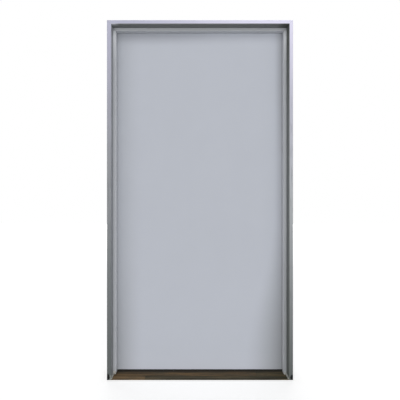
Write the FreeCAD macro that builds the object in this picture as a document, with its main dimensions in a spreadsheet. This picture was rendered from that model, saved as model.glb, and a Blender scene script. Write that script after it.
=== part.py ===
import FreeCAD, Part
import os
import Sketcher

# A plain flush steel door in a folded double-rabbet steel frame, seen from its stop side.
# Millimetres. +X runs to the right and +Y away from the viewer, +Z is up.
# The origin is on the floor, in the middle of the doorway's width and of the frame's depth.

doc = FreeCAD.newDocument("steel_utility_door")
sheet = doc.addObject("Spreadsheet::Sheet", "sizes")

DRIVING_SIZES = [
    ("opening_width", 1067, "doorway between the rabbet walls of the two jambs"),
    ("opening_height", 2134, "doorway from the floor to the rabbet wall of the head"),
    ("face_width", 25, "face of the frame, front and rear"),
    ("rabbet_depth", 49, "depth of each rabbet"),
    ("stop_width", 32, "soffit of the stop, along the depth"),
    ("stop_height", 16, "stop, out from the rabbet walls"),
    ("frame_sheet", 1.5, "thickness of the frame's sheet"),
    ("frame_bend", 1, "inside radius of the frame's bends"),
    ("return_length", 12, "lips that turn back along the wall"),
    ("leaf_thickness", 44.5, "leaf over both skins"),
    ("leaf_gap", 5, "gap beside and over the leaf"),
    ("leaf_sheet", 1.2, "thickness of the leaf's skins and channels"),
    ("leaf_bend", 0.8, "inside radius of the skins' bends"),
    ("lock_bevel", 2.8, "bevel of the lock edge over the leaf's thickness"),
    ("edge_seam", 0.4, "seam between the two skins along the leaf's edges"),
    ("channel_height", 20, "channels that close the leaf's top and foot"),
    ("inner_gap", 1, "room at the ends of the core and the channels"),
    ("foot_gap", 5, "gap between the threshold and the leaf"),
    ("gasket_thickness", 3, "rubber gasket on the stop"),
    ("gasket_width", 5, "width of the gasket"),
    ("gasket_inset", 3, "from the stop's soffit to the gasket"),
    ("gasket_round", 1.5, "rounding of the gasket's free edges"),
    ("gasket_gap", 0.3, "gap between the gasket and the closed leaf"),
    ("threshold_thickness", 6, "boards of the threshold"),
    ("threshold_fit", 0.5, "gap between the boards and the jambs"),
    ("front_board_width", 26, "front row of boards"),
    ("front_seam", 332, "butt seam of the front row, left of the middle"),
    ("back_seam", 346, "butt seam of the back row, right of the middle"),
    ("board_chamfer", 0.8, "eased top edges of the boards"),
    ("bead_width", 8, "sealant bead at the jambs' feet, out from the steel"),
    ("bead_rise", 7, "sealant bead, up from the boards"),
    ("bead_slope", 6, "slope of the bead's free edge"),
    ("bead_fit", 0.3, "room between the bead and the bend behind it"),
    ("hinge_height", 114.3, "butt hinges"),
    ("hinge_plate", 2.2, "thickness of the hinge plates"),
    ("hinge_plate_width", 38, "hinge plates, along the depth"),
    ("knuckle_radius", 7, "barrel of the hinges"),
    ("knuckle_standoff", 0.5, "from the rear face of the frame to the barrel"),
    ("knuckle_gap", 0.3, "running gap between knuckles"),
    ("pin_radius", 3, "hinge pins"),
    ("pin_clearance", 0.05, "running fit of the pins in the knuckles"),
    ("pin_head_radius", 5, "heads of the hinge pins"),
    ("pin_head_height", 3, "heads of the hinge pins"),
    ("hinge_top_drop", 127, "from the head's rabbet wall to the top hinge"),
    ("hinge_foot_rise", 254, "from the floor to the bottom hinge"),
    ("backing_thickness", 4, "backing plates that carry the hinges inside the jamb"),
    ("backing_width", 36, "backing plates, along the depth"),
    ("backing_overlap", 20, "backing plates, past each end of the hinge"),
    ("anchor_sheet", 1.5, "thickness of the anchors"),
    ("anchor_height", 40, "height of the anchors"),
    ("anchor_hinge_gap", 40, "from the backing plates to the wall anchors above and below them"),
    ("anchor_hole_radius", 4, "screw hole in each wall anchor"),
    ("anchor_lip_gap", 1, "from the frame's lips to the anchors' legs"),
    ("floor_plate", 3, "foot plate of the floor anchors"),
    ("floor_hole_radius", 5, "bolt holes in the foot plates"),
    ("floor_hole_spacing", 80, "bolt holes of a foot plate, along the depth"),
]
for row, (alias, value, meaning) in enumerate(DRIVING_SIZES, start=1):
    sheet.set("A%d" % row, meaning)
    sheet.set("B%d" % row, str(value))
    sheet.setAlias("B%d" % row, alias)
doc.recompute()

# Places that several pieces share, as expressions in the driving sizes.
DEPTH = "(2 * sizes.rabbet_depth + sizes.stop_width)"
FRONT = "(-%s / 2)" % DEPTH
REAR = "(%s / 2)" % DEPTH
STOP_FRONT = "(-sizes.stop_width / 2)"
STOP_REAR = "(sizes.stop_width / 2)"
HALF_OPENING = "(sizes.opening_width / 2)"
HALF_FRAME = "(sizes.opening_width / 2 + sizes.face_width)"
HALF_CLEAR = "(sizes.opening_width / 2 - sizes.stop_height)"
FRAME_TOP = "(sizes.opening_height + sizes.face_width)"
CLEAR_TOP = "(sizes.opening_height - sizes.stop_height)"
LEAF_FRONT = "(%s + sizes.gasket_thickness + sizes.gasket_gap)" % STOP_REAR
LEAF_REAR = "(%s + sizes.leaf_thickness)" % LEAF_FRONT
LEAF_FOOT = "(sizes.threshold_thickness + sizes.foot_gap)"
LEAF_TOP = "(sizes.opening_height - sizes.leaf_gap)"
LEAF_HALF = "(%s - sizes.leaf_gap)" % HALF_OPENING
PIN_X = "(-%s + sizes.leaf_gap / 2)" % HALF_OPENING
PIN_Y = "(%s + sizes.knuckle_standoff + sizes.knuckle_radius)" % REAR
HINGE_LOW = "sizes.hinge_foot_rise"
HINGE_HIGH = "(sizes.opening_height - sizes.hinge_top_drop - sizes.hinge_height)"
HINGE_MIDDLE = "((%s + %s) / 2)" % (HINGE_LOW, HINGE_HIGH)

pieces = []


def number(expression):
    """The value of an expression in the driving sizes."""
    return float(sheet.evalExpression(expression))


def new_body(label):
    """An empty body for one piece, with the label that names its file."""
    body = doc.addObject("PartDesign::Body", label)
    body.Label = label
    pieces.append(body)
    return body


def outline(body, name, role, corners):
    """A closed outline on one of the body's own planes, its corners held to pairs of expressions."""
    sketch = body.newObject("Sketcher::SketchObject", name)
    plane = [item for item in body.Origin.OriginFeatures if item.Role == role][0]
    sketch.AttachmentSupport = [(plane, "")]
    sketch.MapMode = "FlatFace"
    points = [FreeCAD.Vector(number(across), number(along), 0) for across, along in corners]
    count = len(points)
    for index, start in enumerate(points):
        sketch.addGeometry(Part.LineSegment(start, points[(index + 1) % count]), False)
    for index in range(count):
        sketch.addConstraint(Sketcher.Constraint("Coincident", index, 2, (index + 1) % count, 1))
    for index, (across, along) in enumerate(corners):
        for kind, value, expression in (
            ("DistanceX", points[index].x, across),
            ("DistanceY", points[index].y, along),
        ):
            place = sketch.addConstraint(Sketcher.Constraint(kind, -1, 1, index, 1, value))
            sketch.setExpression("Constraints[%d]" % place, expression)
    return sketch


def pad(body, name, sketch, length, symmetric=False):
    """The outline drawn out to a length."""
    feature = body.newObject("PartDesign::Pad", name)
    feature.Profile = sketch
    if symmetric:
        feature.SideType = "Symmetric"
    feature.setExpression("Length", length)
    doc.recompute()
    return feature


def cut_through(body, name, sketch):
    """The outline cut right through the body, both ways."""
    feature = body.newObject("PartDesign::Pocket", name)
    feature.Profile = sketch
    feature.SideType = "Symmetric"
    feature.Type = "ThroughAll"
    doc.recompute()
    return feature


def edges_at(feature, direction, places):
    """Names of the straight edges along a direction that pass through any of the places."""
    names = []
    for index, edge in enumerate(feature.Shape.Edges, start=1):
        start = edge.Vertexes[0].Point
        run = edge.Vertexes[-1].Point - start
        if run.Length < 1e-6 or run.normalize().cross(direction).Length > 1e-6:
            continue
        for place in places:
            if (start - place).cross(direction).Length < 1e-4:
                names.append("Edge%d" % index)
    return names


def round_edges(body, name, feature, names, radius):
    """The named edges of a feature rounded."""
    fillet = body.newObject("PartDesign::Fillet", name)
    fillet.Base = (feature, names)
    fillet.setExpression("Radius", radius)
    doc.recompute()
    return fillet


def slope_edges(body, name, feature, names, size):
    """The named edges or faces of a feature chamfered."""
    chamfer = body.newObject("PartDesign::Chamfer", name)
    chamfer.Base = (feature, names)
    chamfer.setExpression("Size", size)
    doc.recompute()
    return chamfer


# The frame is one folded section: front lip, face, rabbet wall, stop, rabbet wall, face, rear lip.
# Each corner is its place along the depth and how far in it lies from the frame's outer edge.
SHEET = "sizes.frame_sheet"
FACE = "sizes.face_width"
STOP_IN = "(sizes.face_width + sizes.stop_height)"
SHOWN_CORNERS = [
    ("%s + sizes.return_length" % FRONT, "0"),
    (FRONT, "0"),
    (FRONT, FACE),
    (STOP_FRONT, FACE),
    (STOP_FRONT, STOP_IN),
    (STOP_REAR, STOP_IN),
    (STOP_REAR, FACE),
    (REAR, FACE),
    (REAR, "0"),
    ("%s - sizes.return_length" % REAR, "0"),
]
THROAT_CORNERS = [
    ("%s - sizes.return_length" % REAR, SHEET),
    ("%s - %s" % (REAR, SHEET), SHEET),
    ("%s - %s" % (REAR, SHEET), "%s - %s" % (FACE, SHEET)),
    ("%s - %s" % (STOP_REAR, SHEET), "%s - %s" % (FACE, SHEET)),
    ("%s - %s" % (STOP_REAR, SHEET), "%s - %s" % (STOP_IN, SHEET)),
    ("%s + %s" % (STOP_FRONT, SHEET), "%s - %s" % (STOP_IN, SHEET)),
    ("%s + %s" % (STOP_FRONT, SHEET), "%s - %s" % (FACE, SHEET)),
    ("%s + %s" % (FRONT, SHEET), "%s - %s" % (FACE, SHEET)),
    ("%s + %s" % (FRONT, SHEET), SHEET),
    ("%s + sizes.return_length" % FRONT, SHEET),
]
# The outside of each bend: corners 3 and 6 of the shown side are inner corners, and their
# outside lies in the throat.
OUTER_BENDS = [SHOWN_CORNERS[place] for place in (1, 2, 4, 5, 7, 8)]
OUTER_BENDS += [THROAT_CORNERS[place] for place in (3, 6)]
INNER_BENDS = [THROAT_CORNERS[place] for place in (1, 2, 4, 5, 7, 8)]
INNER_BENDS += [SHOWN_CORNERS[place] for place in (3, 6)]
OUTER_RADIUS = "sizes.frame_bend + sizes.frame_sheet"
INNER_RADIUS = "sizes.frame_bend"


def jamb_corner(corner, side):
    """A corner of the section in plan, on the left (-1) or right (1) jamb."""
    along, inward = corner
    return ("%d * (%s - (%s))" % (side, HALF_FRAME, inward), along)


def head_corner(corner):
    """A corner of the section seen from the side, on the head."""
    along, inward = corner
    return (along, "%s - (%s)" % (FRAME_TOP, inward))


def plan_points(corners, side):
    """Corners of the section in plan as points."""
    places = [jamb_corner(corner, side) for corner in corners]
    return [FreeCAD.Vector(number(across), number(along), 0) for across, along in places]


def side_points(corners):
    """Corners of the section seen from the side as points."""
    places = [head_corner(corner) for corner in corners]
    return [FreeCAD.Vector(0, number(along), number(up)) for along, up in places]


MITRE_PAST = "sizes.face_width"


def mitre_corner(side, inward, upward):
    """A corner of the mitre's cutting triangle, on the left or right of the frame's front."""
    outer = "%s + %s" % (HALF_FRAME, MITRE_PAST)
    inner = "%s - %s" % (HALF_CLEAR, MITRE_PAST)
    high = "%s + %s" % (FRAME_TOP, MITRE_PAST)
    low = "%s - %s" % (CLEAR_TOP, MITRE_PAST)
    across = inner if inward else outer
    return ("%d * (%s)" % (side, across), high if upward else low)


def build_jamb(label, side):
    """A jamb: the folded section stood on the floor, mitred to the head."""
    body = new_body(label)
    section = outline(
        body, label + "_section", "XY_Plane",
        [jamb_corner(corner, side) for corner in SHOWN_CORNERS + THROAT_CORNERS],
    )
    blank = pad(body, label + "_blank", section, FRAME_TOP)
    upright = FreeCAD.Vector(0, 0, 1)
    names = edges_at(blank, upright, plan_points(OUTER_BENDS, side))
    outside = round_edges(body, label + "_outer_bends", blank, names, OUTER_RADIUS)
    names = edges_at(outside, upright, plan_points(INNER_BENDS, side))
    round_edges(body, label + "_inner_bends", outside, names, INNER_RADIUS)
    mitre = outline(
        body, label + "_mitre_line", "XZ_Plane",
        [mitre_corner(side, False, True), mitre_corner(side, True, False), mitre_corner(side, True, True)],
    )
    cut_through(body, label + "_mitre", mitre)


def build_head(label):
    """The head: the same section laid across, mitred at both ends."""
    body = new_body(label)
    section = outline(
        body, label + "_section", "YZ_Plane",
        [head_corner(corner) for corner in SHOWN_CORNERS + THROAT_CORNERS],
    )
    blank = pad(body, label + "_blank", section, "2 * %s" % HALF_FRAME, symmetric=True)
    across = FreeCAD.Vector(1, 0, 0)
    names = edges_at(blank, across, side_points(OUTER_BENDS))
    outside = round_edges(body, label + "_outer_bends", blank, names, OUTER_RADIUS)
    names = edges_at(outside, across, side_points(INNER_BENDS))
    round_edges(body, label + "_inner_bends", outside, names, INNER_RADIUS)
    for side, end in ((-1, "left"), (1, "right")):
        mitre = outline(
            body, "%s_%s_mitre_line" % (label, end), "XZ_Plane",
            [mitre_corner(side, False, True), mitre_corner(side, False, False),
             mitre_corner(side, True, False)],
        )
        cut_through(body, "%s_%s_mitre" % (label, end), mitre)


build_jamb("left_jamb", -1)
build_jamb("right_jamb", 1)
build_head("head")

# The threshold is two rows of boards between the jambs, cut round the feet of the stops.
BOARD_END = "(%s - sizes.threshold_fit)" % HALF_OPENING
BOARD_STOP_END = "(%s - sizes.threshold_fit)" % HALF_CLEAR
ROW_SEAM = "(%s + sizes.front_board_width)" % FRONT
NOTCH_FRONT = "%s - sizes.threshold_fit" % STOP_FRONT
NOTCH_REAR = "%s + sizes.threshold_fit" % STOP_REAR
FRONT_SEAM = "(-sizes.front_seam)"
BACK_SEAM = "(sizes.back_seam)"


def top_face(feature):
    """Name of the highest level face of a feature."""
    heights = [(face.CenterOfMass.z, index) for index, face in enumerate(feature.Shape.Faces, start=1)]
    return "Face%d" % max(heights)[1]


def build_board(label, corners):
    """A board of the threshold, with eased top edges."""
    body = new_body(label)
    blank = pad(body, label + "_blank", outline(body, label + "_plan", "XY_Plane", corners),
                "sizes.threshold_thickness")
    slope_edges(body, label + "_eased", blank, [top_face(blank)], "sizes.board_chamfer")


def notched_end(side):
    """The end of the back row, from its front corner to its rear one, round the stop's foot."""
    end = "%d * %s" % (side, BOARD_END)
    stop_end = "%d * %s" % (side, BOARD_STOP_END)
    return [(end, ROW_SEAM), (end, NOTCH_FRONT), (stop_end, NOTCH_FRONT), (stop_end, NOTCH_REAR),
            (end, NOTCH_REAR), (end, REAR)]


build_board("threshold_front_left_board", [
    ("-" + BOARD_END, FRONT), (FRONT_SEAM, FRONT), (FRONT_SEAM, ROW_SEAM), ("-" + BOARD_END, ROW_SEAM)])
build_board("threshold_front_right_board", [
    (FRONT_SEAM, FRONT), (BOARD_END, FRONT), (BOARD_END, ROW_SEAM), (FRONT_SEAM, ROW_SEAM)])
build_board("threshold_back_left_board", [
    (BACK_SEAM, REAR), (BACK_SEAM, ROW_SEAM)] + notched_end(-1))
build_board("threshold_back_right_board", [
    (BACK_SEAM, REAR), (BACK_SEAM, ROW_SEAM)] + notched_end(1))


def build_bead(label, side):
    """The sealant bead in the corner between the boards and a jamb's front rabbet."""
    body = new_body(label)
    wall = "%d * %s" % (side, HALF_OPENING)
    free = "%d * (%s - sizes.bead_width)" % (side, HALF_OPENING)
    stop_end = "%d * %s" % (side, HALF_CLEAR)
    free_row = "%s - sizes.bead_width" % STOP_FRONT
    corners = [(wall, FRONT), (wall, STOP_FRONT), (stop_end, STOP_FRONT), (stop_end, free_row),
               (free, free_row), (free, FRONT)]
    blank = pad(body, label + "_blank", outline(body, label + "_plan", "XY_Plane", corners),
                "sizes.bead_rise")
    corner = FreeCAD.Vector(number(wall), number(STOP_FRONT), 0)
    names = edges_at(blank, FreeCAD.Vector(0, 0, 1), [corner])
    back = round_edges(body, label + "_back", blank, names, "sizes.frame_bend + sizes.bead_fit")
    free_top = FreeCAD.Vector(number(free), number(free_row), number("sizes.bead_rise"))
    names = edges_at(back, FreeCAD.Vector(0, 1, 0), [free_top])
    names += edges_at(back, FreeCAD.Vector(1, 0, 0), [free_top])
    slope_edges(body, label + "_slope", back, names, "sizes.bead_slope")
    body.setExpression("Placement.Base.z", "sizes.threshold_thickness")


build_bead("left_sealant_bead", -1)
build_bead("right_sealant_bead", 1)

# The rubber gaskets stand on the rear face of the stop, where the closed leaf meets them.
GASKET_REAR = "%s + sizes.gasket_thickness" % STOP_REAR
GASKET_NEAR = "(%s + sizes.gasket_inset)" % HALF_CLEAR
GASKET_FAR = "(%s + sizes.gasket_width)" % GASKET_NEAR
GASKET_LOW = "(%s + sizes.gasket_inset)" % CLEAR_TOP
GASKET_HIGH = "(%s + sizes.gasket_width)" % GASKET_LOW


def build_jamb_gasket(label, side):
    """A gasket from the threshold to the corner of the head's gasket."""
    body = new_body(label)
    near = "%d * %s" % (side, GASKET_NEAR)
    far = "%d * %s" % (side, GASKET_FAR)
    corners = [(near, STOP_REAR), (near, GASKET_REAR), (far, GASKET_REAR), (far, STOP_REAR)]
    blank = pad(body, label + "_blank", outline(body, label + "_plan", "XY_Plane", corners),
                "%s - sizes.threshold_thickness" % GASKET_HIGH)
    free = [FreeCAD.Vector(number(across), number(GASKET_REAR), 0) for across in (near, far)]
    names = edges_at(blank, FreeCAD.Vector(0, 0, 1), free)
    round_edges(body, label + "_round", blank, names, "sizes.gasket_round")
    body.setExpression("Placement.Base.z", "sizes.threshold_thickness")


def build_head_gasket(label):
    """The gasket under the head, between the two upright ones."""
    body = new_body(label)
    corners = [(STOP_REAR, GASKET_LOW), (GASKET_REAR, GASKET_LOW), (GASKET_REAR, GASKET_HIGH),
               (STOP_REAR, GASKET_HIGH)]
    blank = pad(body, label + "_blank", outline(body, label + "_side", "YZ_Plane", corners),
                "2 * %s" % GASKET_NEAR, symmetric=True)
    free = [FreeCAD.Vector(0, number(GASKET_REAR), number(up)) for up in (GASKET_LOW, GASKET_HIGH)]
    names = edges_at(blank, FreeCAD.Vector(1, 0, 0), free)
    round_edges(body, label + "_round", blank, names, "sizes.gasket_round")


build_jamb_gasket("left_gasket", -1)
build_jamb_gasket("right_gasket", 1)
build_head_gasket("head_gasket")

# Each wall anchor is a folded clip in the throat of a jamb, its web against the rabbet walls
# and its legs along the two faces. One screw through the web holds it to the wall's end.
ANCHOR_OUTER = [
    ("%s + sizes.frame_sheet" % FRONT, "sizes.frame_sheet + sizes.anchor_lip_gap"),
    ("%s + sizes.frame_sheet" % FRONT, "sizes.face_width - sizes.frame_sheet"),
    ("%s - sizes.frame_sheet" % REAR, "sizes.face_width - sizes.frame_sheet"),
    ("%s - sizes.frame_sheet" % REAR, "sizes.frame_sheet + sizes.anchor_lip_gap"),
]
ANCHOR_INNER = [
    ("%s - sizes.frame_sheet - sizes.anchor_sheet" % REAR, "sizes.frame_sheet + sizes.anchor_lip_gap"),
    ("%s - sizes.frame_sheet - sizes.anchor_sheet" % REAR,
     "sizes.face_width - sizes.frame_sheet - sizes.anchor_sheet"),
    ("%s + sizes.frame_sheet + sizes.anchor_sheet" % FRONT,
     "sizes.face_width - sizes.frame_sheet - sizes.anchor_sheet"),
    ("%s + sizes.frame_sheet + sizes.anchor_sheet" % FRONT, "sizes.frame_sheet + sizes.anchor_lip_gap"),
]


def anchor_clip(body, label, side):
    """The folded clip of an anchor, with rounded bends."""
    corners = [jamb_corner(corner, side) for corner in ANCHOR_OUTER + ANCHOR_INNER]
    blank = pad(body, label + "_blank", outline(body, label + "_plan", "XY_Plane", corners),
                "sizes.anchor_height")
    upright = FreeCAD.Vector(0, 0, 1)
    names = edges_at(blank, upright, plan_points(ANCHOR_OUTER[1:3], side))
    outside = round_edges(body, label + "_outer_bends", blank, names,
                          "sizes.frame_bend + sizes.anchor_sheet")
    names = edges_at(outside, upright, plan_points(ANCHOR_INNER[1:3], side))
    return round_edges(body, label + "_inner_bends", outside, names, "sizes.frame_bend")


def build_wall_anchor(label, side, height):
    """A wall anchor at a height up the jamb, with its screw hole."""
    body = new_body(label)
    anchor_clip(body, label, side)
    ring = body.newObject("Sketcher::SketchObject", label + "_hole_place")
    plane = [item for item in body.Origin.OriginFeatures if item.Role == "YZ_Plane"][0]
    ring.AttachmentSupport = [(plane, "")]
    ring.MapMode = "FlatFace"
    middle = FreeCAD.Vector(0, number("sizes.anchor_height / 2"), 0)
    ring.addGeometry(Part.Circle(middle, FreeCAD.Vector(0, 0, 1), number("sizes.anchor_hole_radius")), False)
    ring.addConstraint(Sketcher.Constraint("PointOnObject", 0, 3, -2))
    place = ring.addConstraint(Sketcher.Constraint("DistanceY", -1, 1, 0, 3, middle.y))
    ring.setExpression("Constraints[%d]" % place, "sizes.anchor_height / 2")
    place = ring.addConstraint(Sketcher.Constraint("Radius", 0, number("sizes.anchor_hole_radius")))
    ring.setExpression("Constraints[%d]" % place, "sizes.anchor_hole_radius")
    cut_through(body, label + "_hole", ring)
    body.setExpression("Placement.Base.z", "%s - sizes.anchor_height / 2" % height)


def build_floor_anchor(label, side):
    """A floor anchor: the same clip with a foot plate and two bolt holes."""
    body = new_body(label)
    anchor_clip(body, label, side)
    inward = "sizes.face_width - sizes.frame_sheet - sizes.anchor_sheet / 2"
    outward = "sizes.frame_sheet + sizes.anchor_lip_gap"
    near = "%s + sizes.frame_sheet + sizes.anchor_sheet / 2" % FRONT
    far = "%s - sizes.frame_sheet - sizes.anchor_sheet / 2" % REAR
    corners = [jamb_corner(corner, side) for corner in (
        (near, outward), (near, inward), (far, inward), (far, outward))]
    pad(body, label + "_plate", outline(body, label + "_plate_plan", "XY_Plane", corners),
        "sizes.floor_plate")
    holes = body.newObject("Sketcher::SketchObject", label + "_hole_places")
    plane = [item for item in body.Origin.OriginFeatures if item.Role == "XY_Plane"][0]
    holes.AttachmentSupport = [(plane, "")]
    holes.MapMode = "FlatFace"
    across = "%d * (%s - (%s + %s) / 2)" % (side, HALF_FRAME, inward, outward)
    for index, along in enumerate(("-sizes.floor_hole_spacing / 2", "sizes.floor_hole_spacing / 2")):
        centre = FreeCAD.Vector(number(across), number(along), 0)
        radius = number("sizes.floor_hole_radius")
        holes.addGeometry(Part.Circle(centre, FreeCAD.Vector(0, 0, 1), radius), False)
        place = holes.addConstraint(Sketcher.Constraint("DistanceX", -1, 1, index, 3, centre.x))
        holes.setExpression("Constraints[%d]" % place, across)
        place = holes.addConstraint(Sketcher.Constraint("DistanceY", -1, 1, index, 3, centre.y))
        holes.setExpression("Constraints[%d]" % place, along)
        place = holes.addConstraint(Sketcher.Constraint("Radius", index, radius))
        holes.setExpression("Constraints[%d]" % place, "sizes.floor_hole_radius")
    cut_through(body, label + "_holes", holes)


# The wall anchors keep close to the hinges, where the leaf's weight comes on the jamb. The other
# jamb has its own at the same heights.
PAST_HINGE = "(sizes.backing_overlap + sizes.anchor_hinge_gap + sizes.anchor_height / 2)"
ANCHOR_LEVELS = (
    "%s + sizes.hinge_height + %s" % (HINGE_LOW, PAST_HINGE),
    "%s - %s" % (HINGE_MIDDLE, PAST_HINGE),
    "%s + sizes.hinge_height + %s" % (HINGE_MIDDLE, PAST_HINGE),
    "%s - %s" % (HINGE_HIGH, PAST_HINGE),
)
for side_name, side in (("left", -1), ("right", 1)):
    for count, level in enumerate(ANCHOR_LEVELS, start=1):
        build_wall_anchor("%s_wall_anchor_%d" % (side_name, count), side, level)
    build_floor_anchor("%s_floor_anchor" % side_name, side)

# The leaf is two folded skins that meet in a seam half way along its edges. A honeycomb core
# fills it, and a channel closes its top and its foot.
SEAM = "((%s + %s) / 2)" % (LEAF_FRONT, LEAF_REAR)
SKIN = "sizes.leaf_sheet"


def lock_edge(along):
    """How far right the bevelled lock edge lies at a place along the depth."""
    return "(%s - sizes.lock_bevel * (%s - (%s)) / sizes.leaf_thickness)" % (LEAF_HALF, LEAF_REAR, along)


def build_skin(label, shown, inward, seam_side):
    """A skin: its shown face, and the two edges folded round to the seam."""
    body = new_body(label)
    inside = "%s %s %s" % (shown, inward, SKIN)
    seam = "%s %s sizes.edge_seam / 2" % (SEAM, seam_side)
    corners = [
        ("-%s" % LEAF_HALF, seam),
        ("-%s" % LEAF_HALF, shown),
        (lock_edge(shown), shown),
        (lock_edge(seam), seam),
        ("%s - %s" % (lock_edge(seam), SKIN), seam),
        ("%s - %s" % (lock_edge(inside), SKIN), inside),
        ("-%s + %s" % (LEAF_HALF, SKIN), inside),
        ("-%s + %s" % (LEAF_HALF, SKIN), seam),
    ]
    blank = pad(body, label + "_blank", outline(body, label + "_plan", "XY_Plane", corners),
                "%s - %s" % (LEAF_TOP, LEAF_FOOT))
    upright = FreeCAD.Vector(0, 0, 1)
    points = [FreeCAD.Vector(number(across), number(along), 0) for across, along in corners]
    names = edges_at(blank, upright, points[1:3])
    outside = round_edges(body, label + "_outer_bends", blank, names, "sizes.leaf_bend + sizes.leaf_sheet")
    names = edges_at(outside, upright, points[5:7])
    round_edges(body, label + "_inner_bends", outside, names, "sizes.leaf_bend")
    body.setExpression("Placement.Base.z", LEAF_FOOT)


build_skin("leaf_front_skin", LEAF_FRONT, "+", "-")
build_skin("leaf_rear_skin", LEAF_REAR, "-", "+")

CORE_LEFT = "(-%s + sizes.leaf_sheet + sizes.inner_gap)" % LEAF_HALF
CORE_RIGHT = "(%s - sizes.leaf_sheet - sizes.inner_gap)" % lock_edge(LEAF_FRONT)
CORE_FRONT = "(%s + sizes.leaf_sheet)" % LEAF_FRONT
CORE_REAR = "(%s - sizes.leaf_sheet)" % LEAF_REAR


def build_core(label):
    """The honeycomb core, glued between the skins."""
    body = new_body(label)
    corners = [(CORE_LEFT, CORE_FRONT), (CORE_RIGHT, CORE_FRONT), (CORE_RIGHT, CORE_REAR),
               (CORE_LEFT, CORE_REAR)]
    pad(body, label + "_blank", outline(body, label + "_plan", "XY_Plane", corners),
        "%s - %s - 2 * sizes.channel_height" % (LEAF_TOP, LEAF_FOOT))
    body.setExpression("Placement.Base.z", "%s + sizes.channel_height" % LEAF_FOOT)


def build_channel(label, web_outer, web_inner, flange_end):
    """A channel across the leaf: a web between two flanges that lie against the skins."""
    body = new_body(label)
    front_inner = "%s + sizes.leaf_sheet" % CORE_FRONT
    rear_inner = "%s - sizes.leaf_sheet" % CORE_REAR
    corners = [
        (CORE_FRONT, flange_end), (CORE_FRONT, web_outer), (CORE_REAR, web_outer),
        (CORE_REAR, flange_end), (rear_inner, flange_end), (rear_inner, web_inner),
        (front_inner, web_inner), (front_inner, flange_end),
    ]
    pad(body, label + "_blank", outline(body, label + "_side", "YZ_Plane", corners),
        "%s - %s" % (CORE_RIGHT, CORE_LEFT), symmetric=True)
    body.setExpression("Placement.Base.x", "(%s + %s) / 2" % (CORE_RIGHT, CORE_LEFT))


build_core("leaf_core")
build_channel("leaf_top_channel", LEAF_TOP, "%s - sizes.leaf_sheet" % LEAF_TOP,
              "%s - sizes.channel_height" % LEAF_TOP)
build_channel("leaf_foot_channel", "%s + sizes.channel_height" % LEAF_FOOT,
              "%s + sizes.channel_height - sizes.leaf_sheet" % LEAF_FOOT, LEAF_FOOT)

# Three butt hinges stand on the left, behind the leaf. The knuckles of the two plates take turns
# along the barrel, and a loose pin hangs in them by its head.
KNUCKLES = 5
PITCH = "(sizes.hinge_height / %d)" % KNUCKLES
PLATE_REAR = "(%s - sizes.knuckle_radius - sizes.knuckle_gap)" % PIN_Y
FRAME_PLATE_X = "-%s" % HALF_OPENING
LEAF_PLATE_X = "-%s - sizes.hinge_plate" % LEAF_HALF


def primitive(kind, name, **expressions):
    """A basic solid whose sizes and place are held to expressions."""
    solid = doc.addObject(kind, name)
    for key, expression in expressions.items():
        path = "Placement.Base." + key if key in ("x", "y", "z") else key
        solid.setExpression(path, expression)
    return solid


def build_hinge_plate(label, plate_x, knuckles, foot):
    """A hinge plate with its own knuckles, bored for the pin, at a height on the door."""
    parts = [primitive(
        "Part::Box", label + "_plate", Length="sizes.hinge_plate", Width="sizes.hinge_plate_width",
        Height="sizes.hinge_height", x=plate_x, y="%s - sizes.hinge_plate_width" % PLATE_REAR)]
    for index in knuckles:
        low = "%d * %s + sizes.knuckle_gap / 2" % (index, PITCH) if index > 0 else "0"
        high = "%d * %s" % (index + 1, PITCH)
        if index < KNUCKLES - 1:
            high += " - sizes.knuckle_gap / 2"
        height = "(%s) - (%s)" % (high, low)
        parts.append(primitive(
            "Part::Box", "%s_tab_%d" % (label, index), Length="sizes.hinge_plate",
            Width="%s - %s" % (PIN_Y, PLATE_REAR), Height=height, x=plate_x, y=PLATE_REAR, z=low))
        parts.append(primitive(
            "Part::Cylinder", "%s_knuckle_%d" % (label, index), Radius="sizes.knuckle_radius",
            Height=height, x=PIN_X, y=PIN_Y, z=low))
    joined = doc.addObject("Part::MultiFuse", label + "_joined")
    joined.Shapes = parts
    joined.Refine = True
    bore = primitive(
        "Part::Cylinder", label + "_bore", Radius="sizes.pin_radius + sizes.pin_clearance",
        Height="sizes.hinge_height", x=PIN_X, y=PIN_Y)
    bored = doc.addObject("Part::Cut", label)
    bored.Label = label
    bored.Base = joined
    bored.Tool = bore
    bored.setExpression("Placement.Base.z", foot)
    pieces.append(bored)


def build_hinge_pin(label, foot):
    """A hinge pin, its head on the top knuckle."""
    shank = primitive("Part::Cylinder", label + "_shank", Radius="sizes.pin_radius",
                      Height="sizes.hinge_height + sizes.pin_head_height / 2", x=PIN_X, y=PIN_Y)
    head = primitive("Part::Cylinder", label + "_head", Radius="sizes.pin_head_radius",
                     Height="sizes.pin_head_height", x=PIN_X, y=PIN_Y, z="sizes.hinge_height")
    pin = doc.addObject("Part::Fuse", label)
    pin.Label = label
    pin.Base = shank
    pin.Tool = head
    pin.Refine = True
    pin.setExpression("Placement.Base.z", foot)
    pieces.append(pin)


def build_backing_plate(label, foot):
    """The plate behind a hinge, welded inside the jamb's rear rabbet wall."""
    pieces.append(primitive(
        "Part::Box", label, Length="sizes.backing_thickness", Width="sizes.backing_width",
        Height="sizes.hinge_height + 2 * sizes.backing_overlap",
        x="-%s - sizes.frame_sheet - sizes.backing_thickness" % HALF_OPENING,
        y="%s - sizes.frame_sheet - 2 * sizes.frame_bend - sizes.backing_width" % REAR,
        z="%s - sizes.backing_overlap" % foot))


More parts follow.
